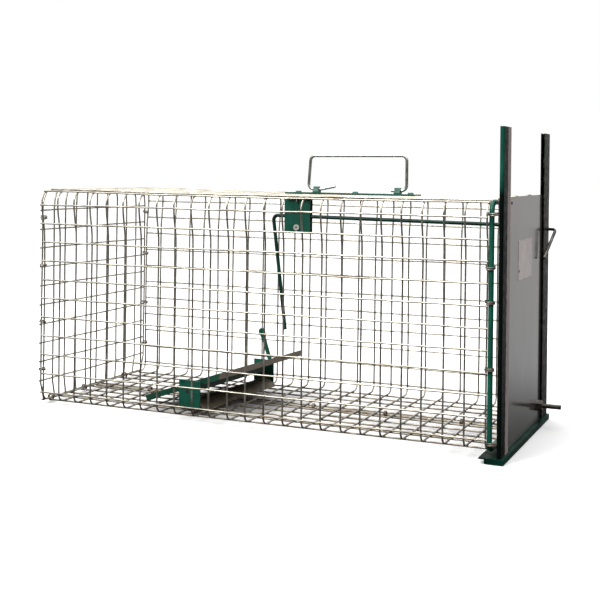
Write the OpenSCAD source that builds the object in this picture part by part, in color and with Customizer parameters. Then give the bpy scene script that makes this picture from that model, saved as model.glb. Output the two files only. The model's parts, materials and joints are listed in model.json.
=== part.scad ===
// Live catch trap: a welded-mesh cage with a drop door, a treadle and a bell-crank trigger.
// X runs from the rear panel to the door, Y across the cage, Z up.
// The origin is at the bottom centre of the bounding box, and the sill stands on z = 0.

/* [Cage] */
// Distance between neighbouring mesh wires
mesh_pitch = 25; // [24:0.5:26]
// Diameter of the mesh wire
wire_d = 2.2; // [1.8:0.1:2.4]
// Cage width between the centre lines of the hoops' uprights
cage_w = 257.6; // [256:0.2:259]
// Cage height between the centre lines of the hoops' level runs
cage_h = 276.3; // [275:0.1:278]
// Radius of the mesh's bends
bend_r = 10; // [8:0.5:11]
// Height of the floor hoops' centre line above the ground
floor_z = 14.7; // [14.5:0.1:15]

/* [Door end] */
// Diameter of the mouth hoop's rod
hoop_d = 6; // [5.8:0.1:6]
// Height of the guide posts' tops above the ground
post_top = 376; // [365:1:385]
// Width of a guide post's flanges across the cage
post_flange = 35; // [30:1:38]
// Sheet thickness of the door
door_t = 1; // [0.8:0.1:1.2]
// Height of the sill
sill_h = 6.5; // [6:0.1:6.5]

/* [Trigger] */
// Diameter of the trigger rod
rod_d = 4.8; // [4.4:0.1:5]
// Angle by which the bend between the trigger's two arms is more than square, in degrees
leg_slant = 7.9; // [6:0.1:9]
// Slope of the trigger's long arm down towards the door, in degrees
rod_droop = 0.65; // [0:0.05:1]

/* [Treadle] */
// How far the treadle's frame is turned in plan, in degrees
treadle_turn = 5; // [0:0.5:6]
// Tilt of the treadle pan at rest, in degrees
pan_tilt = 19; // [18:0.1:19.5]
// Width of the pan across the cage
pan_w = 178; // [170:1:180]

/* [Handle] */
// Diameter of the carry handle's wire
handle_d = 4; // [3.6:0.1:4]
// Height of the handle's grip above its pivot
handle_rise = 44; // [40:1:50]

/* [Hidden] */

paint = [0.05, 0.33, 0.24];
zinc = [0.82, 0.82, 0.78];
steel = [0.3, 0.3, 0.29];
gap = 0.1;          // left between pieces that are welded or clinched together
sheet = 1.5;        // thickness of the folded green fittings
across = 22.5;      // turns an eight-sided wire so that its flats face along the axes
flat = cos(across); // half the distance across an eight-sided wire's flats, over its radius

// lengthwise places, each measured from the rear hoop
hoop_count = 25;
cage_len = (hoop_count - 1) * mesh_pitch;
rear_x = -318.59;
hoops_x = [for (k = [0 : hoop_count - 1]) rear_x + 0.5 + k * (mesh_pitch - 0.04)];
last_x = hoops_x[hoop_count - 1];
mouth_x = last_x + wire_d / 2 + hoop_d / 2 + gap;
post_x = mouth_x + 8.2;         // rear face of the guide posts
post_depth = 5.2;
post_skin = 1;
door_x = post_x + 1.5;          // rear face of the door
pivot_x = rear_x + 312.6;       // trigger's pivot
treadle_x = rear_x + 207.6;     // middle of the treadle's axle
handle_x = rear_x + 394;        // middle of the carry handle

wire_r = wire_d / 2;
half_w = cage_w / 2;
top_z = floor_z + cage_h;
lay = wire_r * flat * 2 - gap;  // a lengthwise wire lies this far outside the hoops
side_y = half_w + lay;
straight_y = half_w - bend_r;
low_z = floor_z + bend_r;
high_z = top_z - bend_r;

side_count = 11;
side_top = floor_z + 260;
side_step = mesh_pitch - 0.1;
edge_turn = 60;                 // how far round the upper bend its lengthwise wire lies, in degrees
level_count = 10;
seam_half = 1.7;                // half the distance between the floor seam's two edge wires

panel_x = hoops_x[0] - wire_d - 1.8;
panel_count = 11;
panel_y = half_w - 0.4;

ring_wire = 1.6;
post_y = half_w + 2.2;          // outer face of a guide post
sill_back = rear_x + 592;       // rear edge of the sill's top flange
sill_wall = rear_x + 598.5;     // rear edge of the sill's box
sill_front = post_x + post_depth + 3;

trigger_y = -3;
pivot_z = floor_z + 234.4;
rod_z = pivot_z + 14.7;
rod_r = rod_d / 2;
rod_back = 36;                  // from the pivot back to the rod's bend
rod_reach = 298.9;              // from the pivot forward to the rod's tip
rod_bend = 6;
leg_len = 152.6;
pin_r = 2.5;
run = 0.05;                     // radial running clearance of every pivot

floor_top = floor_z + wire_r + 0.1;
leg_top = floor_z + 37.5;
leg_y = 95;                     // outer face of a treadle leg
axle_r = 2.5;
axle_z = floor_z + 23;
pan_t = 1.2;
pan_front = 73;                 // from the axle to the pan's front edge, along the pan
pan_back = 71.5;                // from the axle to the pan's rear edge, along the pan
pan_lift = 9.4;                 // from the axle up to the pan's underside
pan_lip = 7.5;
channel_y = pan_w / 2 - 2;      // outer face of each end of the channel under the pan

plate_top = top_z + lay + wire_r * flat + gap + sheet;
handle_z = plate_top + 4.4;
handle_r = handle_d / 2;
handle_half = 67.8;             // from the handle's middle to each leg's centre line
handle_bend = 7;
lug_x = 56;                     // from the handle's middle to each lug's middle

latch_y = half_w - 2.8;
latch_z = floor_z + 236;
latch_r = 2;
peg_y = 75;

// ---------- shared shapes ----------

// An eight-sided wire of length l along +Z
module wire(l, r = wire_r) {
    rotate([0, 0, across]) cylinder(r = r, h = l, $fn = 8);
}

module wire_x(x1, x2, r = wire_r) {
    translate([x1, 0, 0]) rotate([0, 90, 0]) wire(x2 - x1, r);
}

module wire_y(y1, y2, r = wire_r) {
    translate([0, y1, 0]) rotate([-90, 0, 0]) wire(y2 - y1, r);
}

// A quarter bend in the YZ plane about the origin, from the -Y axis towards angle + 90
module wire_bend(start) {
    rotate([90, 0, 90]) rotate([0, 0, start]) rotate_extrude(angle = 90, $fn = 48)
        translate([bend_r, 0]) rotate(across) circle(r = wire_r, $fn = 8);
}

// A clinched wire ring about the Z axis
module ring(inner, r = ring_wire / 2) {
    rotate_extrude($fn = 40) translate([inner + r, 0]) circle(r = r, $fn = 20);
}

module bar_x(x1, x2, r) {
    translate([x1, 0, 0]) rotate([0, 90, 0]) cylinder(r = r, h = x2 - x1, $fn = 32);
}

module bar_y(y1, y2, r) {
    translate([0, y1, 0]) rotate([-90, 0, 0]) cylinder(r = r, h = y2 - y1, $fn = 32);
}

// A box given by its lowest and highest corners
module block(a, b) {
    translate(a) cube(b - a);
}

// The treadle's own frame: its X runs forward, its Y along the axle, and Z stays up
module treadle_frame() {
    translate([treadle_x, 2, 0]) rotate([0, 0, -treadle_turn]) children();
}

// The pan's frame: the axle is its Y axis and the pan lies level in it
module pan_frame() {
    treadle_frame() translate([0, 0, axle_z]) rotate([0, -pan_tilt, 0]) children();
}

// ---------- the mesh ----------

// One side wall with the bends that join it to the top and the floor, on the -Y side
module side_wall() {
    for (x = hoops_x) translate([x, 0, 0]) {
        translate([0, -half_w, low_z]) wire(high_z - low_z);
        translate([0, -straight_y, high_z]) wire_bend(90);
        translate([0, -straight_y, low_z]) wire_bend(180);
    }
    for (i = [0 : side_count - 1])
        translate([0, -side_y, side_top - i * side_step])
            wire_x(hoops_x[0] - wire_r, last_x + wire_r);
    translate([0, -straight_y, high_z]) rotate([-edge_turn, 0, 0])
        translate([0, -bend_r - lay, 0]) wire_x(hoops_x[0] - wire_r, last_x + wire_r);
}

module near_side_mesh() {
    color(zinc) side_wall();
}

module far_side_mesh() {
    color(zinc) mirror([0, 1, 0]) side_wall();
}

// A level grid; side is 1 where the lengthwise wires lie above the cross wires, -1 below
module level_grid(z, side) {
    for (x = hoops_x) translate([x, 0, z]) wire_y(-straight_y, straight_y);
    for (i = [0 : level_count - 1])
        translate([0, (i - (level_count - 1) / 2) * mesh_pitch, z + side * lay])
            wire_x(hoops_x[0] - wire_r, last_x + wire_r);
}

module top_mesh() {
    color(zinc) level_grid(top_z, 1);
}

module floor_mesh() {
    color(zinc) {
        level_grid(floor_z, -1);
        for (y = [-seam_half, seam_half])
            translate([0, y, floor_z - lay]) wire_x(hoops_x[0] - wire_r, last_x + wire_r);
    }
}

// The rear panel is a flat mesh of its own, cut a little differently from the body
module rear_panel_mesh() {
    bottom = floor_z - 0.5;
    step = 25.3;
    color(zinc) {
        for (i = [0 : panel_count - 1])
            translate([panel_x, -panel_y + i * 2 * panel_y / (panel_count - 1), bottom - wire_r])
                wire(11 * step + wire_d);
        for (i = [0 : 11])
            translate([panel_x - lay, 0, bottom + i * step])
                wire_y(-panel_y - wire_r - 0.5, panel_y + wire_r + 0.5);
    }
}

// Clinched rings that join the panel to the rear hoop's uprights
module rear_side_rings() {
    color(zinc) for (y = [-1, 1], z = [41.5, 104.5, 179.5, 243])
        translate([(hoops_x[0] + panel_x) / 2, y * (half_w - 0.2), floor_z + z]) ring(3.2);
}

// The lowest rings of the panel, which the rear of the cage stands on
module rear_foot_rings() {
    color(zinc) for (y = [-107, -30, 74])
        translate([(hoops_x[0] + panel_x - lay) / 2, y, floor_z - 0.3]) rotate([90, 0, 0]) ring(4.2);
}

module floor_seam_rings() {
    color(zinc) for (k = [3, 8, 13, 17, 21])
        translate([(hoops_x[k] + hoops_x[k + 1]) / 2, 0, floor_z - lay + 0.7])
            rotate([0, 90, 0]) ring(seam_half + wire_r + 0.2);
}

// ---------- the door end ----------

// One upright of the mouth hoop, with its two bends, on the -Y side
module mouth_upright() {
    translate([mouth_x, -half_w, low_z]) cylinder(d = hoop_d, h = high_z - low_z, $fn = 32);
    for (end = [[high_z, 90], [low_z, 180]])
        translate([mouth_x, -straight_y, end[0]]) rotate([90, 0, 90]) rotate([0, 0, end[1]])
            rotate_extrude(angle = 90, $fn = 48) translate([bend_r, 0]) circle(d = hoop_d, $fn = 32);
}

module mouth_hoop_near_bar() {
    color(paint) mouth_upright();
}

module mouth_hoop_far_bar() {
    color(paint) mirror([0, 1, 0]) mouth_upright();
}

module mouth_hoop_top_bar() {
    color(paint) translate([mouth_x, 0, top_z]) bar_y(-straight_y, straight_y, hoop_d / 2);
}

module mouth_hoop_bottom_bar() {
    color(paint) translate([mouth_x, 0, floor_z]) bar_y(-straight_y, straight_y, hoop_d / 2);
}

module mouth_hoop_rings() {
    ring_x = mouth_x - wire_r;
    inner = hoop_d / 2 + wire_r + 0.3;
    color(zinc) {
        for (y = [-half_w, half_w], z = [90, 165, 204])
            translate([ring_x, y, floor_z + z]) ring(inner);
        for (y = [-75, 0, 75])
            translate([ring_x, y, top_z]) rotate([90, 0, 0]) ring(inner);
    }
}

// A folded channel that the door slides in, on the -Y side; its foot stands on the sill
module guide_post() {
    foot = sill_h + 0.1;
    inner = post_y - post_flange;
    difference() {
        block([post_x, -post_y, foot], [post_x + post_depth, -inner, post_top]);
        block([post_x + post_skin, -post_y + post_skin, foot - 1],
            [post_x + post_depth - post_skin, -inner + 1, post_top + 1]);
    }
}

module near_guide_post() {
    color(paint) guide_post();
}

// The far post also carries the latch wire's pivot
module far_guide_post() {
    color(paint) difference() {
        mirror([0, 1, 0]) guide_post();
        translate([0, latch_y, latch_z]) bar_x(post_x - 1, post_x + post_depth + 1, latch_r + run);
    }
}

// Ties that hold the posts to the mouth hoop, one high and one low on each side
module post_ties() {
    color(zinc) for (y = [-half_w, half_w], z = [low_z - 5, high_z - 5])
        block([mouth_x + hoop_d / 2 + 0.02, y - 1.5, z], [post_x - 0.02, y + 1.5, z + 4]);
}

// A folded box channel, open at its rear, that the posts stand on; its top reaches further back
module door_sill() {
    half = post_y + 0.5;
    color(paint) {
        difference() {
            block([sill_wall, -half, 0], [sill_front, half, sill_h]);
            block([sill_wall - 1, -half + sheet, sheet], [sill_front - sheet, half - sheet, sill_h - sheet]);
        }
        block([sill_back, -half, sill_h - sheet], [sill_wall + 1, half, sill_h]);
    }
}

// ---------- the door ----------

door_half = 121;
door_foot = sill_h + 0.7;
door_top = floor_z + 282;
lip_x = mouth_x + hoop_d / 2 + 0.35;
lip_half = post_y - post_flange - 0.5;

// A flat sheet whose lower edge is folded inwards to a lip that the trigger holds up
module door_sheet() {
    color(steel) {
        block([door_x, -door_half, door_foot], [door_x + door_t, door_half, door_top]);
        block([lip_x, -lip_half, door_foot], [door_x + door_t / 2, lip_half, door_foot + door_t]);
    }
}

module door_label() {
    face = door_x + door_t + 0.02;
    color([0.8, 0.75, 0.74]) block([face, -41, floor_z + 182], [face + 0.25, 35, floor_z + 229.5]);
}

peg_z = floor_z + 13;
peg_r = 2.9;
peg_len = 31;
nut_len = 8;

module door_peg_nut() {
    color(steel) translate([door_x + door_t, peg_y, peg_z]) rotate([0, 90, 0]) difference() {
        cylinder(r = 7, h = nut_len, $fn = 6);
        translate([0, 0, -1]) cylinder(r = peg_r, h = nut_len + 2, $fn = 32);
    }
}

module door_peg() {
    color(steel) translate([0, peg_y, peg_z]) bar_x(door_x + door_t, door_x + door_t + peg_len, peg_r);
}

// ---------- the latch wire ----------

latch_out = post_x + post_depth + 9.8;
latch_tip_x = post_x + post_depth + 2.6;
latch_tip_y = latch_y - 40;
latch_tip_z = latch_z - 35.5;

// A round bar from point a to point b
module strut(a, b, r) {
    d = b - a;
    turn = atan2(d[1], d[0]);
    lean = acos(d[2] / norm(d));
    translate(a) rotate([0, lean, turn]) cylinder(r = r, h = norm(d), $fn = 32);
}

module latch_wire() {
    color(steel) {
        translate([0, latch_y, latch_z]) bar_x(post_x - 2, latch_out, latch_r);
        translate([0, latch_y, latch_z]) bar_x(post_x - 3, post_x - 0.6, latch_r + 1.4);
        translate([latch_out, latch_y, latch_z]) sphere(r = latch_r + 0.1, $fn = 32);
        strut([latch_out, latch_y, latch_z], [latch_tip_x, latch_tip_y, latch_tip_z], latch_r);
    }
}

// ---------- the top plate and the carry handle ----------

plate_back = rear_x + 298.5;
plate_front = rear_x + 476.5;
plate_half = 15;
rivets_x = [for (x = [312, 392.2, 467.2]) rear_x + x];
rivet_r = 2.4;
strip_top = top_z - wire_r - gap;

// A flat strip with a clear hole at each rivet
module riveted_strip(z1, z2) {
    difference() {
        block([plate_back, -plate_half, z1], [plate_front, plate_half, z2]);
        for (x = rivets_x) translate([x, 0, z1 - 1]) cylinder(r = rivet_r + 0.1, h = z2 - z1 + 2, $fn = 32);
    }
}

module handle_plate() {
    color(paint) riveted_strip(plate_top - sheet, plate_top);
}

module backing_strip() {
    color(zinc) riveted_strip(strip_top - sheet, strip_top);
}

// Three domed rivets clamp the mesh between the plate and the strip
module plate_rivets() {
    color(paint) for (x = rivets_x) translate([x, 0, 0]) {
        translate([0, 0, strip_top - sheet - 1.5])
            cylinder(r = rivet_r, h = plate_top - strip_top + sheet + 2.5, $fn = 32);
        translate([0, 0, plate_top + 0.02]) cylinder(r1 = 4.6, r2 = 3, h = 2, $fn = 32);
        translate([0, 0, strip_top - sheet - 2.02]) cylinder(r = 3.6, h = 2, $fn = 32);
    }
}

// Two bent straps that the handle's ends turn in
module handle_lugs() {
    color(paint) for (side = [-1, 1]) translate([handle_x + side * lug_x, 0, 0]) difference() {
        hull() {
            block([-4, -5, plate_top + 0.02], [4, 5, plate_top + 1.5]);
            translate([0, 0, handle_z]) bar_x(-4, 4, handle_r + 1.6);
        }
        translate([0, 0, handle_z]) bar_x(-5, 5, handle_r + run);
    }
}

// A quarter bend in the XZ plane about the origin, starting at the given angle from +X
module bar_bend(start, radius, r) {
    rotate([90, 0, 0]) rotate([0, 0, start]) rotate_extrude(angle = 90, $fn = 48)
        translate([radius, 0]) circle(r = r, $fn = 32);
}

// A bail whose ends turn inwards through the lugs
module carry_handle() {
    inner = handle_half - handle_bend;
    grip_z = handle_z + handle_rise;
    color(zinc) {
        translate([0, 0, grip_z]) bar_x(handle_x - inner, handle_x + inner, handle_r);
        for (side = [-1, 1]) {
            leg_x = handle_x + side * handle_half;
            in_x = handle_x + side * inner;
            translate([leg_x, 0, handle_z + handle_bend])
                cylinder(r = handle_r, h = handle_rise - 2 * handle_bend, $fn = 32);
            translate([in_x, 0, grip_z - handle_bend])
                bar_bend(side > 0 ? 0 : 90, handle_bend, handle_r);
            translate([in_x, 0, handle_z + handle_bend])
                bar_bend(side > 0 ? 270 : 180, handle_bend, handle_r);
        }
        translate([0, 0, handle_z]) {
            bar_x(handle_x - inner, handle_x - lug_x + 26, handle_r);
            bar_x(handle_x + lug_x - 9, handle_x + inner, handle_r);
        }
    }
}

// ---------- the trigger ----------

bracket_back = pivot_x - 17.5;
bracket_front = pivot_x + 19;
bracket_foot = floor_z + 226.5;
bracket_top = strip_top - sheet - 2.2;
cheek_near = trigger_y - 4.5;
cheek_far = trigger_y + 4.5;
tie_x = pivot_x + 1.3;
tie_z = floor_z + 268.3;

// Two cheeks and a web, folded from one sheet, that hang under the top
module trigger_bracket() {
    color(paint) difference() {
        block([bracket_back, cheek_near, bracket_foot], [bracket_front, cheek_far, bracket_top]);
        block([bracket_back - 1, cheek_near + sheet, bracket_foot - 1],
            [bracket_front + 1, cheek_far - sheet, bracket_top - sheet]);
        translate([pivot_x, 0, pivot_z]) bar_y(cheek_near - 1, cheek_far + 1, pin_r + run);
        translate([tie_x, 0, tie_z]) bar_y(cheek_near - 1, cheek_far + 1, ring_wire / 2 + 0.1);
    }
}

// A wire through the cheeks and over the strip, which hangs the bracket up
module bracket_tie() {
    reach = 3.5;
    color(zinc) translate([tie_x, 0, tie_z]) {
        bar_y(cheek_near - reach, cheek_far + reach, ring_wire / 2);
        for (y = [cheek_near - reach, cheek_far + reach])
            translate([0, y, -ring_wire / 2])
                cylinder(d = ring_wire + 0.2, h = strip_top - sheet - tie_z + 0.5, $fn = 24);
    }
}

// A hollow rivet through both cheeks
module trigger_pin() {
    color(zinc) translate([pivot_x, 0, pivot_z]) difference() {
        union() {
            bar_y(cheek_near - 1.2, cheek_far + 1.2, pin_r);
            bar_y(cheek_near - 1.3, cheek_near - 0.05, 4);
            bar_y(cheek_far + 0.05, cheek_far + 1.3, 4);
        }
        bar_y(cheek_near - 3, cheek_far + 3, pin_r - 1);
    }
}

// The bell crank: a long arm to the door, a hub on the pivot, and a leg down to the treadle
module trigger_rod() {
    bend_x = pivot_x - rod_back;
    turn = 90 + leg_slant;
    color(paint) translate([pivot_x, trigger_y, pivot_z]) rotate([0, rod_droop, 0])
        translate([-pivot_x, 0, -pivot_z]) {
        translate([0, 0, rod_z]) bar_x(bend_x + rod_bend * tan(turn / 2), pivot_x + rod_reach, rod_r);
        translate([bend_x + rod_bend * tan(turn / 2), 0, rod_z - rod_bend])
            rotate([90, 0, 0]) rotate([0, 0, 90]) rotate_extrude(angle = turn, $fn = 96)
                translate([rod_bend, 0]) circle(r = rod_r, $fn = 32);
        translate([bend_x, 0, rod_z]) rotate([0, 180 - leg_slant, 0])
            translate([0, 0, rod_bend * tan(turn / 2)])
                cylinder(r = rod_r, h = leg_len - rod_bend * tan(turn / 2), $fn = 32);
        difference() {
            union() {
                block([pivot_x - 6, -1.8, pivot_z], [pivot_x + 6, 1.8, rod_z]);
                translate([pivot_x, 0, pivot_z]) bar_y(-1.8, 1.8, 6);
            }
            translate([pivot_x, 0, pivot_z]) bar_y(-3, 3, pin_r + run);
        }
    }
}

// ---------- the treadle ----------

// A low strip, arched from front to back, that lies on the cage floor between the legs
module treadle_base() {
    crown = 10;
    half = 19;
    radius = (half * half + crown * crown) / (2 * crown);
    color(zinc) treadle_frame() translate([5, 0, floor_top]) intersection() {
        translate([0, 0, crown - radius]) difference() {
            bar_y(-leg_y + 2.5, leg_y - 2.5, radius);
            bar_y(-leg_y, leg_y, radius - 1.2);
        }
        block([-half, -leg_y, 0], [half, leg_y, crown + 1]);
    }
}

// A leg on the -Y side, with a foot that is turned in under the base strip
module treadle_leg() {
    difference() {
        union() {
            block([-13, -leg_y, floor_top], [19, -leg_y + 2, leg_top]);
            block([-8, -leg_y + 1, floor_top], [17, -leg_y + 12, floor_top + 1.5]);
        }
        translate([0, 0, axle_z]) bar_y(-leg_y - 1, -leg_y + 3, axle_r + gap);
    }
}

module near_treadle_leg() {
    color(paint) treadle_frame() treadle_leg();
}

module far_treadle_leg() {
    color(paint) treadle_frame() mirror([0, 1, 0]) treadle_leg();
}

module treadle_axle() {
    color(steel) treadle_frame() translate([0, 0, axle_z]) bar_y(-leg_y - 0.3, leg_y + 0.3, axle_r);
}

// A sheet pan with its four edges turned down
module treadle_pan() {
    top = pan_lift + pan_t;
    color(paint) pan_frame() difference() {
        block([-pan_back, -pan_w / 2, top - pan_lip], [pan_front, pan_w / 2, top]);
        block([-pan_back + pan_t, -pan_w / 2 + pan_t, top - pan_lip - 1],
            [pan_front - pan_t, pan_w / 2 - pan_t, pan_lift]);
    }
}

// A folded channel under the pan, open below, whose two end walls turn on the axle
module pan_channel() {
    half = 9;
    wall = 2;
    top = pan_lift - 0.02;
    color(paint) pan_frame() difference() {
        block([-half, -channel_y, -3.4], [half, channel_y, top]);
        block([-half + pan_t, -channel_y + wall, -4], [half - pan_t, channel_y - wall, top - pan_t]);
        bar_y(-channel_y - 1, channel_y + 1, axle_r + run);
    }
}

// A rod with a flattened, rounded head that stands on the front of the pan
module treadle_finger() {
    foot = pan_lift + pan_t + 0.02;
    head = 53.5;
    color(paint) pan_frame() translate([69, 9, 0]) {
        translate([0, 0, foot]) cylinder(r = 2.8, h = head - foot - 9, $fn = 32);
        translate([0, 0, head - 12]) rotate([0, -90, 90]) translate([0, 0, -1.9]) hull() {
            cylinder(r = 3, h = 3.8, $fn = 48);
            translate([7.8, 0, 0]) cylinder(r = 4.2, h = 3.8, $fn = 48);
        }
    }
}

near_side_mesh();
far_side_mesh();
top_mesh();
floor_mesh();
rear_panel_mesh();
rear_side_rings();
rear_foot_rings();
floor_seam_rings();
mouth_hoop_near_bar();
mouth_hoop_far_bar();
mouth_hoop_top_bar();
mouth_hoop_bottom_bar();
mouth_hoop_rings();
near_guide_post();
far_guide_post();
post_ties();
door_sill();
handle_plate();
backing_strip();
plate_rivets();
handle_lugs();
carry_handle();
trigger_bracket();
bracket_tie();
trigger_pin();
trigger_rod();
door_sheet();
door_label();
door_peg();
door_peg_nut();
latch_wire();
treadle_base();
near_treadle_leg();
far_treadle_leg();
treadle_axle();
treadle_pan();
pan_channel();
treadle_finger();
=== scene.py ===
"""Looks of the live catch trap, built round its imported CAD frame. All lengths are in metres."""

import json
import math
import random

import bmesh
import bpy
from mathutils import Matrix, Vector


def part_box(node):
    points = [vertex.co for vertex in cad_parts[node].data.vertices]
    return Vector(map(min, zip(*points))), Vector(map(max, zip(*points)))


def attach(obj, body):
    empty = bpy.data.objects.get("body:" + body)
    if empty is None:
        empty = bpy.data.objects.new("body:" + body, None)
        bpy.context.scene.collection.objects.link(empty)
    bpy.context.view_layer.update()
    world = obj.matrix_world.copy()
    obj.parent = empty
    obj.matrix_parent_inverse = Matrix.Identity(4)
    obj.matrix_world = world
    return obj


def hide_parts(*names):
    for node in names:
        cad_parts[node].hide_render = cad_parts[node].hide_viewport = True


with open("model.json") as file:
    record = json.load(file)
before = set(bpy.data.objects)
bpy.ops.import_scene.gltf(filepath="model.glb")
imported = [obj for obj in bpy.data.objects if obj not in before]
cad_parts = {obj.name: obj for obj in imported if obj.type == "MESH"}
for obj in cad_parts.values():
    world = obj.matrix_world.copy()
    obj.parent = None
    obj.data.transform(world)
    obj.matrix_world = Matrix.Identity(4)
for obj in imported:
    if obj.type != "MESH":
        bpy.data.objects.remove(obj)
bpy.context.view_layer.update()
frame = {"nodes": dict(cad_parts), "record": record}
nodes = frame["nodes"]
pivots = {joint["name"]: Vector(joint["pos_m"])
          for joint in frame["record"]["behaviour"]["joints"] if "pos_m" in joint}
rng = random.Random(11)

# ---------- places taken from the frame ----------

WIRE = 0.0011                     # radius of the mesh wire
FLAT = WIRE * math.cos(math.radians(22.5))
HOOPS = 25
SIDE_WIRES = 11
SIDE_TOP = 0.2600                 # the highest side wire, above the floor hoops
SIDE_STEP = 0.0249
LEVEL_WIRES = 10
LEVEL_STEP = 0.025
SEAM_HALF = 0.0017
EDGE_TURN = math.radians(60)      # how far round the upper bend its lengthwise wire lies
TIE_WIRE = 0.0009

LEAN = {-1: 0.0065, 1: 0.0045}    # how far the near and the far wall lean out at their upper bends
LEAN_FROM = 0.062                 # the walls begin to lean this far below the top
TOP_BEND = 0.0140                 # centre-line radius of the hoops' upper bends
REAR_RISE = 0.0022                # the top is this much higher at the rear panel
RISE_LENGTH = 0.20                # and comes down to its usual height over this length
PANEL_UPRIGHTS = 11
PANEL_LEVELS = 12
PANEL_PULL = {"low": 0.055, "high": 0.065}    # share of its width lost at the panel's corners
FOOT_TIE_SNUG = 0.0011            # the foot ties are pulled this much tighter than the CAD rings

HANDLE_BEND = 0.0068              # centre-line bend radius of the carry handle
LATCH_BEND = 0.0042               # and of the latch
THIN_ROD = 0.002                  # radius of both
SHEET = 0.001                     # thickness of the folded posts
POST_FOLD = 0.0022                # and their outer bend radius
RIVET = 0.0021                    # radius of the door's rivet heads
DOOR_RIVETS = [(-0.078, 0.007), (-0.037, 0.089)]    # Y, and how far below the door's top

ROOM_LIGHT = 1.35                 # how strongly the room lights the object; the camera sees it at 1
CAMERA_PLACE = Vector((0.5806, -1.3390, 0.3234))
CAMERA_TURN, CAMERA_TILT, CAMERA_ROLL = (math.radians(a) for a in (23.467, 0.056, 0.683))

side_low, side_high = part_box("near_side_mesh")
top_low, top_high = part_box("top_mesh")
floor_low, floor_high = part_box("floor_mesh")
panel_low, panel_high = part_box("rear_panel_mesh")
hoop_low, hoop_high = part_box("mouth_hoop_near_bar")

first_x = side_low.x + WIRE
last_x = side_high.x - WIRE
pitch = (last_x - first_x) / (HOOPS - 1)
floor_z = floor_high.z - FLAT
top_z = top_low.z + FLAT
lay = top_high.z - FLAT - top_z   # from a hoop's centre line out to a lengthwise wire's
half_w = -side_low.y - FLAT - lay
bend = half_w + side_high.y


def ease(t):
    """0 below 0, 1 above 1, and a smooth step between."""
    t = min(1.0, max(0.0, t))
    return t * t * (3 - 2 * t)


def lean_at(side, z):
    return LEAN[side] * ease((z - top_z + LEAN_FROM) / (LEAN_FROM - TOP_BEND))


def rise_at(x):
    return REAR_RISE * (1 - ease((x - first_x) / RISE_LENGTH))


# ---------- materials ----------

class Nodes:
    """A node tree, with short calls for the nodes that the materials and the sky share."""

    def __init__(self, tree):
        self.tree = tree

    def add(self, kind, **values):
        node = self.tree.nodes.new(kind)
        for key, value in values.items():
            setattr(node, key, value)
        return node

    def link(self, source, target):
        self.tree.links.new(source, target)

    def noise(self, scale, detail=3.0, roughness=0.5, stretch=(1, 1, 1)):
        place = self.add("ShaderNodeTexCoord")
        mapping = self.add("ShaderNodeMapping")
        mapping.inputs["Scale"].default_value = stretch
        texture = self.add("ShaderNodeTexNoise")
        texture.inputs["Scale"].default_value = scale
        texture.inputs["Detail"].default_value = detail
        texture.inputs["Roughness"].default_value = roughness
        self.link(place.outputs["Object"], mapping.inputs["Vector"])
        self.link(mapping.outputs["Vector"], texture.inputs["Vector"])
        return texture.outputs["Fac"]

    def along(self, axis, start, end):
        """0 where the object's own X, Y or Z is at start, 1 at end."""
        place = self.add("ShaderNodeTexCoord")
        split = self.add("ShaderNodeSeparateXYZ")
        spread = self.add("ShaderNodeMapRange", clamp=True)
        spread.inputs["From Min"].default_value = start
        spread.inputs["From Max"].default_value = end
        self.link(place.outputs["Object"], split.inputs["Vector"])
        self.link(split.outputs[axis], spread.inputs["Value"])
        return spread.outputs["Result"]

    def math(self, operation, first, second):
        node = self.add("ShaderNodeMath", operation=operation)
        for value, socket in ((first, node.inputs[0]), (second, node.inputs[1])):
            if isinstance(value, float):
                socket.default_value = value
            else:
                self.link(value, socket)
        return node.outputs["Value"]

    def ramp(self, source, *stops):
        """Each stop is (position, colour); a single number is a grey."""
        node = self.add("ShaderNodeValToRGB")
        while len(node.color_ramp.elements) < len(stops):
            node.color_ramp.elements.new(0.5)
        for element, (position, colour) in zip(node.color_ramp.elements, stops):
            element.position = position
            element.color = (*colour, 1) if isinstance(colour, tuple) else (colour, colour, colour, 1)
        self.link(source, node.inputs["Fac"])
        return node.outputs["Color"]

    def mix(self, factor, first, second, blend="MIX"):
        node = self.add("ShaderNodeMix", data_type="RGBA", blend_type=blend)
        if isinstance(factor, float):
            node.inputs["Factor"].default_value = factor
        else:
            self.link(factor, node.inputs["Factor"])
        for value, socket in ((first, node.inputs[6]), (second, node.inputs[7])):
            if isinstance(value, tuple):
                socket.default_value = (*value, 1)
            else:
                self.link(value, socket)
        return node.outputs[2]


class Surface(Nodes):
    """A new material, and what only a material's nodes need."""

    def __init__(self, name):
        self.material = bpy.data.materials.new(name)
        self.material.use_nodes = True
        super().__init__(self.material.node_tree)
        self.shader = self.tree.nodes["Principled BSDF"]

    def bump(self, height, strength, distance):
        node = self.add("ShaderNodeBump")
        node.inputs["Strength"].default_value = strength
        node.inputs["Distance"].default_value = distance
        self.link(height, node.inputs["Height"])
        self.link(node.outputs["Normal"], self.shader.inputs["Normal"])

    def edges(self, radius, low, high):
        """White along edges, from how far a rounded edge would turn the surface."""
        bevel = self.add("ShaderNodeBevel", samples=6)
        bevel.inputs["Radius"].default_value = radius
        plain = self.add("ShaderNodeNewGeometry")
        dot = self.add("ShaderNodeVectorMath", operation="DOT_PRODUCT")
        self.link(bevel.outputs["Normal"], dot.inputs[0])
        self.link(plain.outputs["Normal"], dot.inputs[1])
        return self.ramp(dot.outputs["Value"], (low, 1.0), (high, 0.0))


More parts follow.
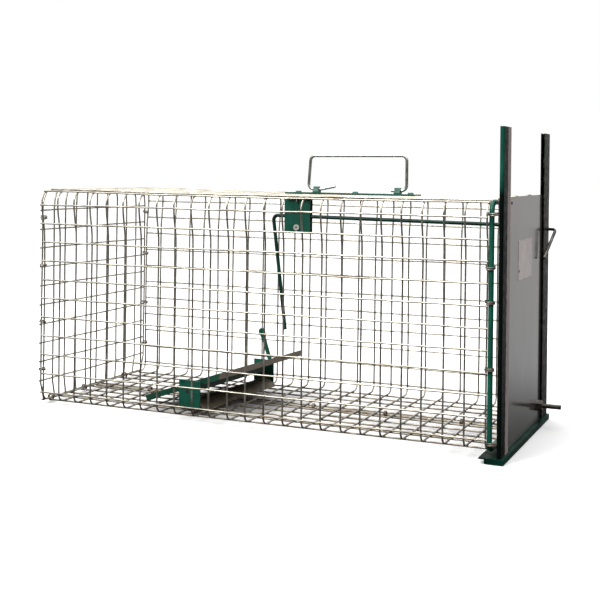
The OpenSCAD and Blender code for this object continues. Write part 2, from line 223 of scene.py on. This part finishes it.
def galvanised(name, light, dark, roughness, metallic=0.92, spangle=260.0):
    """Dull zinc: pale and dark patches, small spangles, brown stains, and a patchy darker, browner colour
    towards the floor.
    """
    m = Surface(name)
    patches = m.ramp(m.noise(55.0, 4.0), (0.36, dark), (0.62, light))
    grain = m.ramp(m.noise(spangle, 3.0), (0.3, 0.6), (0.7, 1.0))
    colour = m.mix(0.55, patches, grain, "MULTIPLY")
    stains = m.ramp(m.noise(23.0, 5.0), (0.56, 0.0), (0.72, 0.75))
    stained = m.mix(stains, colour, (0.20, 0.14, 0.09))
    # darker and browner in patches within a few centimetres of the floor, and rougher there
    low_down = m.along("Z", floor_z + 0.035, floor_z - 0.002)
    darker_near_floor = m.math("MULTIPLY", low_down, m.ramp(m.noise(70.0, 5.0), (0.34, 0.15), (0.62, 0.85)))
    m.link(m.mix(darker_near_floor, stained, (0.15, 0.11, 0.075)), m.shader.inputs["Base Color"])
    rough = m.ramp(m.noise(120.0), (0.3, roughness - 0.1), (0.7, roughness + 0.12))
    m.link(m.math("ADD", rough, m.math("MULTIPLY", darker_near_floor, 0.2)), m.shader.inputs["Roughness"])
    m.shader.inputs["Metallic"].default_value = metallic
    m.bump(m.noise(900.0, 4.0), 0.35, 0.0002)
    return m.material


def green_paint(name, base, deep, roughness=0.34, bare_or_sheen=None, gloss=0.28, painted_shade=()):
    """Dark green paint with orange peel, scuffs and rubbed edges.

    bare_or_sheen is (axis, from, to, colour): the paint gives way to that colour where the axis runs past
    from to to; the colour is worn-through paint, rust, or, on the near post, a painted pale highlight.
    Each of painted_shade is (axis, from, to): painted shade, the paint is blackened past there in the same
    way.
    """
    m = Surface(name)
    body = m.ramp(m.noise(38.0, 5.0), (0.35, deep), (0.65, base))
    rubbed = m.edges(0.0005, 0.72, 0.97)
    broken = m.ramp(m.noise(240.0, 4.0), (0.50, 0.0), (0.62, 0.8))
    worn = m.mix(1.0, rubbed, broken, "MULTIPLY")
    scuffs = m.ramp(m.noise(95.0, 6.0, 0.7, (1, 1, 0.3)), (0.68, 0.0), (0.76, 0.4))
    colour = m.mix(scuffs, body, (0.16, 0.20, 0.16))
    # painted shade: each mask blackens the paint where the part stands in shade
    for axis, start, end in painted_shade:
        colour = m.mix(m.along(axis, start, end), colour, PAINTED_SHADE_BLACK)
    # worn-through paint, rust, or a painted pale highlight, as the caller gives it
    if bare_or_sheen:
        axis, start, end, metal_or_sheen = bare_or_sheen
        ragged = m.math("ADD", m.along(axis, start, end), m.math("SUBTRACT", m.noise(130.0, 5.0), 0.5))
        colour = m.mix(m.ramp(ragged, (0.45, 0.0), (0.6, 1.0)), colour, metal_or_sheen)
    m.link(m.mix(worn, colour, (0.40, 0.39, 0.35)), m.shader.inputs["Base Color"])
    rough = m.ramp(m.noise(150.0), (0.3, roughness - 0.08), (0.7, roughness + 0.15))
    m.link(rough, m.shader.inputs["Roughness"])
    m.shader.inputs["Specular IOR Level"].default_value = gloss
    m.bump(m.noise(420.0, 2.0), 0.25, 0.0003)
    return m.material


def door_lacquer():
    """Glossy dark grey sheet with faint vertical rolling marks, smears and small scratches."""
    m = Surface("door_lacquer")
    body = m.ramp(m.noise(9.0, 4.0, 0.6, (1, 1, 0.35)),
                  (0.3, (0.058, 0.055, 0.052)), (0.7, (0.088, 0.084, 0.080)))
    scratches = m.ramp(m.noise(310.0, 2.0, 0.5, (1, 1, 0.02)), (0.66, 0.0), (0.78, 0.3))
    m.link(m.mix(scratches, body, (0.16, 0.155, 0.15)), m.shader.inputs["Base Color"])
    smears = m.ramp(m.noise(16.0, 6.0, 0.65, (1, 1, 0.4)), (0.35, 0.15), (0.7, 0.24))
    m.link(smears, m.shader.inputs["Roughness"])
    m.shader.inputs["Specular IOR Level"].default_value = 0.5
    m.shader.inputs["Coat Weight"].default_value = 0.5
    m.shader.inputs["Coat Roughness"].default_value = 0.09
    m.bump(m.noise(14.0, 2.0, 0.5, (1, 1, 0.6)), 0.10, 0.0010)
    return m.material


def bare_steel(name, light, dark, roughness=0.34):
    """Dark drawn steel with fine streaks and a brown bloom."""
    m = Surface(name)
    body = m.ramp(m.noise(85.0, 5.0), (0.35, dark), (0.65, light))
    bloom = m.ramp(m.noise(48.0, 6.0), (0.56, 0.0), (0.7, 0.6))
    m.link(m.mix(bloom, body, (0.12, 0.065, 0.035)), m.shader.inputs["Base Color"])
    rough = m.ramp(m.noise(300.0), (0.3, roughness - 0.1), (0.7, roughness + 0.16))
    m.link(rough, m.shader.inputs["Roughness"])
    m.shader.inputs["Metallic"].default_value = 0.85
    m.bump(m.noise(700.0, 3.0), 0.3, 0.0002)
    return m.material


def label_film():
    """Pale film with a faint mottle and slightly dirty edges."""
    m = Surface("label_film")
    body = m.ramp(m.noise(60.0, 4.0), (0.3, (0.60, 0.53, 0.52)), (0.7, (0.72, 0.65, 0.64)))
    grime = m.ramp(m.edges(0.0012, 0.75, 0.98), (0.2, 0.0), (0.9, 0.4))
    m.link(m.mix(grime, body, (0.20, 0.17, 0.16)), m.shader.inputs["Base Color"])
    m.link(m.ramp(m.noise(200.0), (0.3, 0.35), (0.7, 0.5)), m.shader.inputs["Roughness"])
    m.bump(m.noise(160.0, 2.0), 0.2, 0.0002)
    return m.material


GREEN = (0.010, 0.115, 0.074)
DEEP_GREEN = (0.006, 0.072, 0.047)
# a pale pinkish grey, painted as the highlight along the near post's rounded inner flange edge
PAINTED_EDGE_HIGHLIGHT = (0.34, 0.28, 0.27)
RUST = (0.19, 0.085, 0.055)
PAINTED_SHADE_BLACK = (0.003, 0.006, 0.005)

near_post_low, near_post_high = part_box("near_guide_post")
_, far_post_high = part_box("far_guide_post")
plate_low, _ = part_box("handle_plate")
_, pan_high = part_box("treadle_pan")

wire_zinc = galvanised("wire_zinc", (0.70, 0.67, 0.58), (0.42, 0.385, 0.32), 0.34)
tie_zinc = galvanised("tie_zinc", (0.46, 0.43, 0.37), (0.20, 0.17, 0.13), 0.36)
handle_zinc = galvanised("handle_zinc", (0.80, 0.80, 0.78), (0.58, 0.57, 0.54), 0.22, 0.95, 420.0)
pin_zinc = galvanised("pin_zinc", (0.80, 0.78, 0.74), (0.55, 0.53, 0.48), 0.45, 0.25)
sheet_zinc = galvanised("sheet_zinc", (0.30, 0.265, 0.20), (0.14, 0.12, 0.09), 0.46, 0.5, 180.0)
paint = green_paint("green_paint", GREEN, DEEP_GREEN)
# painted shade on the guide posts: the paint is blackened below the cage's top and across the flanges that
# face out from the door
shade_beside_cage = ("Z", top_z + 0.024, top_z + 0.008)
near_post_paint = green_paint("near_post_paint", GREEN, DEEP_GREEN, gloss=0.03,
                              # painted highlight: a pale strip along the inner edge of the near post's front
                              # flange
                              bare_or_sheen=("Y", near_post_high.y - 0.018, near_post_high.y - 0.012, PAINTED_EDGE_HIGHLIGHT),
                              painted_shade=(shade_beside_cage, ("Y", near_post_low.y + 0.0012, near_post_low.y + 0.003)))
far_post_paint = green_paint("far_post_paint", GREEN, DEEP_GREEN, gloss=0.03,
                             painted_shade=(shade_beside_cage, ("Y", far_post_high.y - 0.003, far_post_high.y - 0.006)))
# painted shade: the sill's green paint is darkened to nearly black
shaded_sill_paint = green_paint("shaded_sill_paint", (0.005, 0.042, 0.028), (0.002, 0.012, 0.008), gloss=0.03)
pan_paint = green_paint("pan_paint", (0.014, 0.085, 0.052), (0.008, 0.045, 0.028), 0.4,
                        ("X", pan_high.x - 0.060, pan_high.x - 0.020, (0.125, 0.105, 0.080)))
rod_paint = green_paint("rod_paint", (0.006, 0.055, 0.038), (0.003, 0.022, 0.015))
rivet_paint = green_paint("rivet_paint", GREEN, DEEP_GREEN,
                          bare_or_sheen=("Z", plate_low.z + 0.001, plate_low.z - 0.001, RUST))
lacquer = door_lacquer()
dark_steel = bare_steel("dark_steel", (0.16, 0.15, 0.14), (0.05, 0.045, 0.04))
film = label_film()


# ---------- mesh helpers ----------

def finish_mesh(name, bm, material, body="cage", replaced=()):
    """Turns a bmesh into a smooth piece with sharp corners that rides on a body."""
    mesh = bpy.data.meshes.new(name)
    bm.normal_update()
    bm.to_mesh(mesh)
    bm.free()
    mesh.polygons.foreach_set("use_smooth", [True] * len(mesh.polygons))
    mesh.set_sharp_from_angle(angle=math.radians(50))
    piece = bpy.data.objects.new(name, mesh)
    bpy.context.scene.collection.objects.link(piece)
    piece.data.materials.append(material)
    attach(piece, body)
    if replaced:
        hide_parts(*replaced)
    return piece


def tube(bm, points, radius, closed=False, sides=10):
    """A round tube along points, with its rings kept from twisting."""
    count = len(points)
    rings = []
    side = None
    for i, point in enumerate(points):
        before = points[i - 1] if closed or i > 0 else point
        after = points[(i + 1) % count] if closed or i < count - 1 else point
        along = (after - before).normalized()
        if side is None:
            side = along.orthogonal().normalized()
        side = (side - along * side.dot(along)).normalized()
        up = along.cross(side)
        rings.append([
            bm.verts.new(point + radius * (math.cos(a) * side + math.sin(a) * up))
            for a in (2 * math.pi * k / sides for k in range(sides))
        ])
    for i in range(count if closed else count - 1):
        here, there = rings[i], rings[(i + 1) % count]
        for k in range(sides):
            bm.faces.new((here[k], here[(k + 1) % sides], there[(k + 1) % sides], there[k]))
    if not closed:
        bm.faces.new(rings[0][::-1])
        bm.faces.new(rings[-1])


def bent(corners, radius, steps=7):
    """A run of points through corners, with each inner corner rounded off."""
    points = [corners[0]]
    for before, corner, after in zip(corners, corners[1:], corners[2:]):
        back, ahead = (before - corner).normalized(), (after - corner).normalized()
        half_angle = back.angle(ahead) / 2
        reach = radius / math.tan(half_angle)
        centre = corner + (back + ahead).normalized() * radius / math.sin(half_angle)
        start, end = corner + back * reach - centre, corner + ahead * reach - centre
        points += [centre + start.slerp(end, k / steps, end) * radius for k in range(steps + 1)]
    return points + [corners[-1]]


def waver(amount):
    """A small smooth offset along a wire, as a sum of two waves."""
    first, second = rng.uniform(0, 6.28), rng.uniform(0, 6.28)
    long_wave, short_wave = rng.uniform(0.25, 0.5), rng.uniform(0.08, 0.16)
    share = rng.uniform(0.5, 1.0) * amount

    def offset(s):
        slow, quick = math.sin(6.28 * s / long_wave + first), math.sin(6.28 * s / short_wave + second)
        return share * (slow + 0.4 * quick)

    return offset


def solids(node):
    """The lowest and highest corner of each separate solid in a CAD node."""
    bm = bmesh.new()
    bm.from_mesh(nodes[node].data)
    bmesh.ops.remove_doubles(bm, verts=bm.verts, dist=1e-6)
    left = set(bm.verts)
    boxes = []
    while left:
        front = [left.pop()]
        found = []
        while front:
            vert = front.pop()
            found.append(vert.co.copy())
            for edge in vert.link_edges:
                other = edge.other_vert(vert)
                if other in left:
                    left.remove(other)
                    front.append(other)
        boxes.append(tuple(Vector(pick(p[i] for p in found) for i in range(3)) for pick in (min, max)))
    bm.free()
    return sorted(boxes, key=lambda box: tuple(round(value, 4) for value in box[0]))


# ---------- the mesh ----------

def arc(centre, radius, start, end, steps=7):
    """Points of an arc in the YZ plane; angles in degrees from +Y towards +Z."""
    angles = [math.radians(start + (end - start) * k / steps) for k in range(steps + 1)]
    return [centre + radius * Vector((0, math.cos(a), math.sin(a))) for a in angles]


def hoop_points(x, high, sway):
    """One bent cross wire: a rounded rectangle whose walls lean out near the top."""
    points = []
    for side in (1, -1):
        low_start, top_start = (-90, 0) if side > 0 else (180, 90)
        lower = arc(Vector((x, side * (half_w - bend), floor_z + bend)), bend, low_start, low_start + 90)
        upper_y = half_w + LEAN[side] - TOP_BEND
        upper = arc(Vector((x, side * upper_y, high - TOP_BEND)), TOP_BEND, top_start, top_start + 90)
        heights = [floor_z + bend + 0.024 * k for k in range(1, 9)]
        heights += [high - LEAN_FROM + 0.008 * k for k in range(1, 7)]
        wall = [Vector((x, side * (half_w + lean_at(side, z)), z)) for z in heights]
        points += lower + wall + upper if side > 0 else upper + wall[::-1] + lower
    return [p + Vector((sway(0.7 * p.y + 0.4 * p.z), 0, 0)) for p in points]


def hoops():
    bm = bmesh.new()
    for k in range(HOOPS):
        x = first_x + k * pitch
        tube(bm, hoop_points(x, top_z + rise_at(x), waver(0.0006)), WIRE, closed=True)
    return finish_mesh("mesh_hoops", bm, wire_zinc, replaced=("near_side_mesh", "far_side_mesh"))


def lengthwise(name, rows, out, rises=False, replaced=()):
    """Wires from one end of the cage to the other; rows holds each one's (y, z)."""
    bm = bmesh.new()
    steps = 48
    for y, z in rows:
        offset = waver(0.0004)
        start = first_x - WIRE - rng.uniform(0.0004, 0.0022)
        points = []
        for k in range(steps + 1):
            x = start + (last_x + WIRE - start) * k / steps
            points.append(Vector((x, y, z + (rise_at(x) if rises else 0))) + Vector(out) * offset(x))
        tube(bm, points, WIRE)
    return finish_mesh(name, bm, wire_zinc, replaced=replaced)


def body_mesh():
    hoops()
    levels = [(i - (LEVEL_WIRES - 1) / 2) * LEVEL_STEP for i in range(LEVEL_WIRES)]
    heights = [floor_z + SIDE_TOP - i * SIDE_STEP for i in range(SIDE_WIRES)]
    reach = TOP_BEND + lay
    edge_z = top_z - TOP_BEND + reach * math.sin(EDGE_TURN)
    for name, side in (("near_side_wires", -1), ("far_side_wires", 1)):
        rows = [(side * (half_w + lay + lean_at(side, z)), z) for z in heights]
        lengthwise(name, rows, (0, 0, 1))
        edge_y = half_w + LEAN[side] - TOP_BEND + reach * math.cos(EDGE_TURN)
        lengthwise(name.replace("side", "edge"), [(side * edge_y, edge_z)], (0, 0, 1), True)
    lengthwise("top_wires", [(y, top_z + lay) for y in levels], (0, 1, 0), True, ("top_mesh",))
    floor_rows = [(y, floor_z - lay) for y in levels + [-SEAM_HALF, SEAM_HALF]]
    lengthwise("floor_wires", floor_rows, (0, 1, 0), replaced=("floor_mesh",))


def rear_panel():
    """The flat mesh at the rear: uprights inside, level wires outside."""
    bm = bmesh.new()
    x = panel_high.x - WIRE
    half = -panel_low.y - WIRE - 0.0005
    low, high = panel_low.z + WIRE, panel_high.z - WIRE
    steps = 24

    def drawn_in(y, z):
        """The panel's corners are pulled in, so that they follow the round of the hoops."""
        at_low, at_high = 1 - ease((z - low) / 0.022), ease((z - high + 0.016) / 0.016)
        return y * (1 - PANEL_PULL["low"] * at_low - PANEL_PULL["high"] * at_high)

    for i in range(PANEL_UPRIGHTS):
        y, offset = -half + i * 2 * half / (PANEL_UPRIGHTS - 1), waver(0.0006)
        tall = panel_low.z + (panel_high.z - panel_low.z - rng.uniform(0, 0.002))
        heights = [panel_low.z + (tall - panel_low.z) * k / steps for k in range(steps + 1)]
        tube(bm, [Vector((x, drawn_in(y, z) + offset(z), z)) for z in heights], WIRE)
    for i in range(PANEL_LEVELS):
        z, offset = low + i * (high - low) / (PANEL_LEVELS - 1), waver(0.0006)
        reach = abs(drawn_in(half, z)) + 0.0015
        across = [-reach + 2 * reach * k / steps for k in range(steps + 1)]
        tube(bm, [Vector((x - lay, y, z + offset(y))) for y in across], WIRE)
    return finish_mesh("rear_panel_wires", bm, wire_zinc, replaced=("rear_panel_mesh",))


def wound_tie(bm, centre, axis, radius):
    """A wire tie: nearly two turns, a little crooked."""
    along = Vector([1.0 if i == axis else 0.0 for i in range(3)])
    tilt = Matrix.Rotation(rng.uniform(-0.2, 0.2), 4, "X") @ Matrix.Rotation(rng.uniform(-0.2, 0.2), 4, "Y")
    turn = along.to_track_quat("Z", "Y").to_matrix().to_4x4() @ tilt
    start = rng.uniform(0, 360)
    steps = 56
    points = []
    for k in range(steps + 1):
        a = math.radians(start + 670 * k / steps)
        rise = 4.2 * TIE_WIRE * (k / steps - 0.5)
        points.append(centre + turn @ Vector((radius * math.cos(a), radius * math.sin(a), rise)))
    tube(bm, points, TIE_WIRE, sides=8)


def ties():
    """Wire ties at the rear panel, its feet, the floor seam and the mouth hoop."""
    for node in ("rear_side_rings", "rear_foot_rings", "floor_seam_rings", "mouth_hoop_rings"):
        bm = bmesh.new()
        for low, high in solids(node):
            size = high - low
            axis = min(range(3), key=lambda i: size[i])
            snug = FOOT_TIE_SNUG if node == "rear_foot_rings" else 0
            wound_tie(bm, (low + high) / 2, axis, max(size) / 2 - TIE_WIRE - snug)
        finish_mesh(node.replace("rings", "ties"), bm, tie_zinc, replaced=(node,))
    bm = bmesh.new()
    for low, high in solids("post_ties"):
        centre = (low + high) / 2
        reach = (high.x - hoop_low.x) / 2 + TIE_WIRE
        wound_tie(bm, Vector((hoop_low.x - TIE_WIRE + reach, centre.y, centre.z)), 2, reach)
    finish_mesh("post_wire_ties", bm, tie_zinc, replaced=("post_ties",))


# ---------- the door end ----------

def mouth_hoop():
    """The painted rod round the mouth, bent from one length."""
    radius = (hoop_high.x - hoop_low.x) / 2
    x = (hoop_high.x + hoop_low.x) / 2
    y, low, high = half_w - bend, floor_z + bend, top_z - bend
    points = []
    for cy, cz, start in ((y, low, -90), (y, high, 0), (-y, high, 90), (-y, low, 180)):
        points += arc(Vector((x, cy, cz)), bend, start, start + 90)
    bm = bmesh.new()
    tube(bm, points, radius, closed=True, sides=20)
    bars = [f"mouth_hoop_{side}_bar" for side in ("near", "far", "top", "bottom")]
    return finish_mesh("mouth_hoop", bm, paint, replaced=bars)


def guide_post(node, material):
    """A folded channel with round bends, extruded upright."""
    low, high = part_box(node)
    side = -1 if low.y < 0 else 1
    outer, inner = (low.y, high.y) if side < 0 else (high.y, low.y)
    outside = [Vector((low.x, inner, 0)), Vector((low.x, outer, 0)), Vector((high.x, outer, 0)),
               Vector((high.x, inner, 0))]
    inside = [Vector((high.x - SHEET, inner, 0)), Vector((high.x - SHEET, outer - side * SHEET, 0)),
              Vector((low.x + SHEET, outer - side * SHEET, 0)), Vector((low.x + SHEET, inner, 0))]
    outline = bent(outside, POST_FOLD) + bent(inside, POST_FOLD - SHEET)
    bm = bmesh.new()
    foot = [bm.verts.new((p.x, p.y, low.z)) for p in outline]
    head = [bm.verts.new((p.x, p.y, high.z)) for p in outline]
    count = len(outline)
    for k in range(count):
        bm.faces.new((foot[k], foot[(k + 1) % count], head[(k + 1) % count], head[k]))
    bm.faces.new(foot[::-1])
    bm.faces.new(head)
    bmesh.ops.recalc_face_normals(bm, faces=bm.faces)
    return finish_mesh(node.replace("guide", "folded"), bm, material, replaced=(node,))


def latch():
    """The latch: a bent round wire with a washer behind the post."""
    low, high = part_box("latch_wire")
    pivot = pivots["latch_pivot"]
    post_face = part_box("far_guide_post")[1].x
    washer = low.x + 0.0012
    inner_end = Vector((low.x - 0.0005, pivot.y, pivot.z))
    out = Vector((high.x - THIN_ROD, pivot.y, pivot.z))
    tip = Vector((post_face + 0.0026, low.y + 0.8 * THIN_ROD, low.z + 0.8 * THIN_ROD))
    bm = bmesh.new()
    tube(bm, bent([inner_end, out, tip], LATCH_BEND), THIN_ROD, sides=16)
    tube(bm, [Vector((washer - 0.0006, pivot.y, pivot.z)), Vector((washer + 0.0006, pivot.y, pivot.z))],
         1.7 * THIN_ROD, sides=20)
    return finish_mesh("latch_bent_wire", bm, dark_steel, "latch", ("latch_wire",))


def handle():
    """The bail: one bent wire whose ends turn in through the lugs; the rear end is kicked up."""
    low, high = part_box("carry_handle")
    pivot = pivots["handle_pivot"]
    lugs = solids("handle_lugs")
    grip = high.z - THIN_ROD
    left, right = low.x + THIN_ROD, high.x - THIN_ROD
    rear_end = Vector((lugs[0][1].x + 0.022, 0, pivot.z + 0.0042))
    corners = [rear_end, Vector((lugs[0][1].x + 0.002, 0, pivot.z + 0.0001)), Vector((left, 0, pivot.z)),
               Vector((left + 0.0030, 0, grip)), Vector((right, 0, grip + 0.0006)),
               Vector((right, 0, pivot.z)), Vector((lugs[1][0].x - 0.005, 0, pivot.z))]
    bm = bmesh.new()
    tube(bm, bent(corners, HANDLE_BEND), THIN_ROD, sides=16)
    return finish_mesh("carry_bail", bm, handle_zinc, "handle", ("carry_handle",))


def door_rivets():
    """Two small rivet heads on the door's face."""
    _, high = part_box("door_sheet")
    bm = bmesh.new()
    for y, below in DOOR_RIVETS:
        place = Matrix.Translation((high.x, y, high.z - below)) @ Matrix.Diagonal((0.45, 1, 1, 1))
        bmesh.ops.create_uvsphere(bm, u_segments=16, v_segments=10, radius=RIVET, matrix=place)
    return finish_mesh("door_rivets", bm, dark_steel, "door")


# ---------- the CAD nodes that show ----------

CAD_MATERIALS = {
    shaded_sill_paint: ["door_sill"],
    rod_paint: ["trigger_rod"],
    paint: ["handle_plate", "handle_lugs", "trigger_bracket",
            "near_treadle_leg", "far_treadle_leg", "pan_channel", "treadle_finger"],
    rivet_paint: ["plate_rivets"],
    pan_paint: ["treadle_pan"],
    sheet_zinc: ["treadle_base"],
    tie_zinc: ["backing_strip", "bracket_tie"],
    pin_zinc: ["trigger_pin"],
    lacquer: ["door_sheet"],
    film: ["door_label"],
    dark_steel: ["door_peg", "door_peg_nut", "treadle_axle"],
}


def dress_cad_nodes():
    for material, names in CAD_MATERIALS.items():
        for name in names:
            nodes[name].data.materials.clear()
            nodes[name].data.materials.append(material)


# ---------- studio ----------

def studio_floor():
    """A wide pale floor that touches the sill and the rear feet; it lights nothing by itself."""
    sill_low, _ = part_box("door_sill")
    feet_low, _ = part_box("rear_foot_rings")
    slope = (feet_low.z - sill_low.z) / (feet_low.x - sill_low.x)
    reach = 12.0
    corners = [(-reach, -reach), (reach, -reach), (reach, reach), (-reach, reach)]
    mesh = bpy.data.meshes.new("studio_floor")
    mesh.from_pydata([(x, y, slope * (x - sill_low.x) - 0.0002) for x, y in corners], [], [(0, 1, 2, 3)])
    floor = bpy.data.objects.new("studio_floor", mesh)
    bpy.context.scene.collection.objects.link(floor)
    floor.visible_diffuse = False
    floor.visible_glossy = False
    m = Surface("pale_floor")
    m.link(m.ramp(m.noise(3.0), (0.3, 0.92), (0.7, 0.95)), m.shader.inputs["Base Color"])
    m.shader.inputs["Roughness"].default_value = 0.95
    m.shader.inputs["Specular IOR Level"].default_value = 0.0
    floor.data.materials.append(m.material)


def sky():
    """A soft box overhead in a dim room, with a pale backdrop behind the object.

    The ramps run up from straight down at 0 to straight up at 1. The camera sees plain white.
    """
    world = bpy.data.worlds.new("studio")
    world.use_nodes = True
    bpy.context.scene.world = world
    m = Nodes(world.node_tree)
    background = m.tree.nodes["Background"]
    direction = m.add("ShaderNodeTexCoord").outputs["Generated"]
    split = m.add("ShaderNodeSeparateXYZ")
    m.link(direction, split.inputs["Vector"])
    height = m.math("ADD", m.math("MULTIPLY", split.outputs["Z"], 0.5), 0.5)
    behind = m.ramp(split.outputs["Y"], (0.35, 0.0), (0.80, 1.0))
    room = m.ramp(height, (0.40, 0.05), (0.50, 0.07), (0.62, 0.12), (0.80, 0.95), (1.0, 1.25))
    backdrop = m.ramp(height, (0.375, 0.01), (0.395, 0.11), (0.415, 0.40), (0.50, (0.47, 0.455, 0.44)),
                      (0.80, 1.0))
    seen = m.add("ShaderNodeLightPath").outputs["Is Camera Ray"]
    m.link(m.mix(seen, m.mix(behind, room, backdrop), (1.0, 1.0, 1.0)), background.inputs["Color"])
    strength = m.math("SUBTRACT", ROOM_LIGHT, m.math("MULTIPLY", seen, ROOM_LIGHT - 1.0))
    m.link(strength, background.inputs["Strength"])


def lamp(name, place, size, power):
    light = bpy.data.lights.new(name, "AREA")
    light.shape = "DISK"
    light.size = size
    light.energy = power
    holder = bpy.data.objects.new(name, light)
    holder.location = place
    holder.rotation_mode = "QUATERNION"
    holder.rotation_quaternion = (Vector((0, 0, 0.15)) - Vector(place)).to_track_quat("-Z", "Y")
    bpy.context.scene.collection.objects.link(holder)


def camera():
    """Nearly level, from the near side by the door, with a shift that keeps uprights upright."""
    data = bpy.data.cameras.new("camera")
    data.sensor_width = 36.0
    data.lens = 66.2
    data.shift_x = -0.005
    data.shift_y = -0.213
    cam = bpy.data.objects.new("camera", data)
    level = math.cos(CAMERA_TILT)
    back = Vector((math.sin(CAMERA_TURN) * level, -math.cos(CAMERA_TURN) * level, math.sin(CAMERA_TILT)))
    right = Vector((math.cos(CAMERA_TURN), math.sin(CAMERA_TURN), 0))
    up = back.cross(right)
    turned_right = math.cos(CAMERA_ROLL) * right + math.sin(CAMERA_ROLL) * up
    turned_up = -math.sin(CAMERA_ROLL) * right + math.cos(CAMERA_ROLL) * up
    columns = Matrix((turned_right, turned_up, back)).transposed()
    cam.matrix_world = Matrix.Translation(CAMERA_PLACE) @ columns.to_4x4()
    bpy.context.scene.collection.objects.link(cam)
    bpy.context.scene.camera = cam


camera()
studio_floor()
sky()
lamp("key_light", (-0.8, -1.8, 1.6), 1.2, 42.0)
lamp("top_light", (0.0, 0.0, 2.3), 1.6, 24.0)
body_mesh()
rear_panel()
ties()
mouth_hoop()
guide_post("near_guide_post", near_post_paint)
guide_post("far_guide_post", far_post_paint)
latch()
handle()
door_rivets()
dress_cad_nodes()
bpy.context.scene.view_settings.view_transform = "Standard"
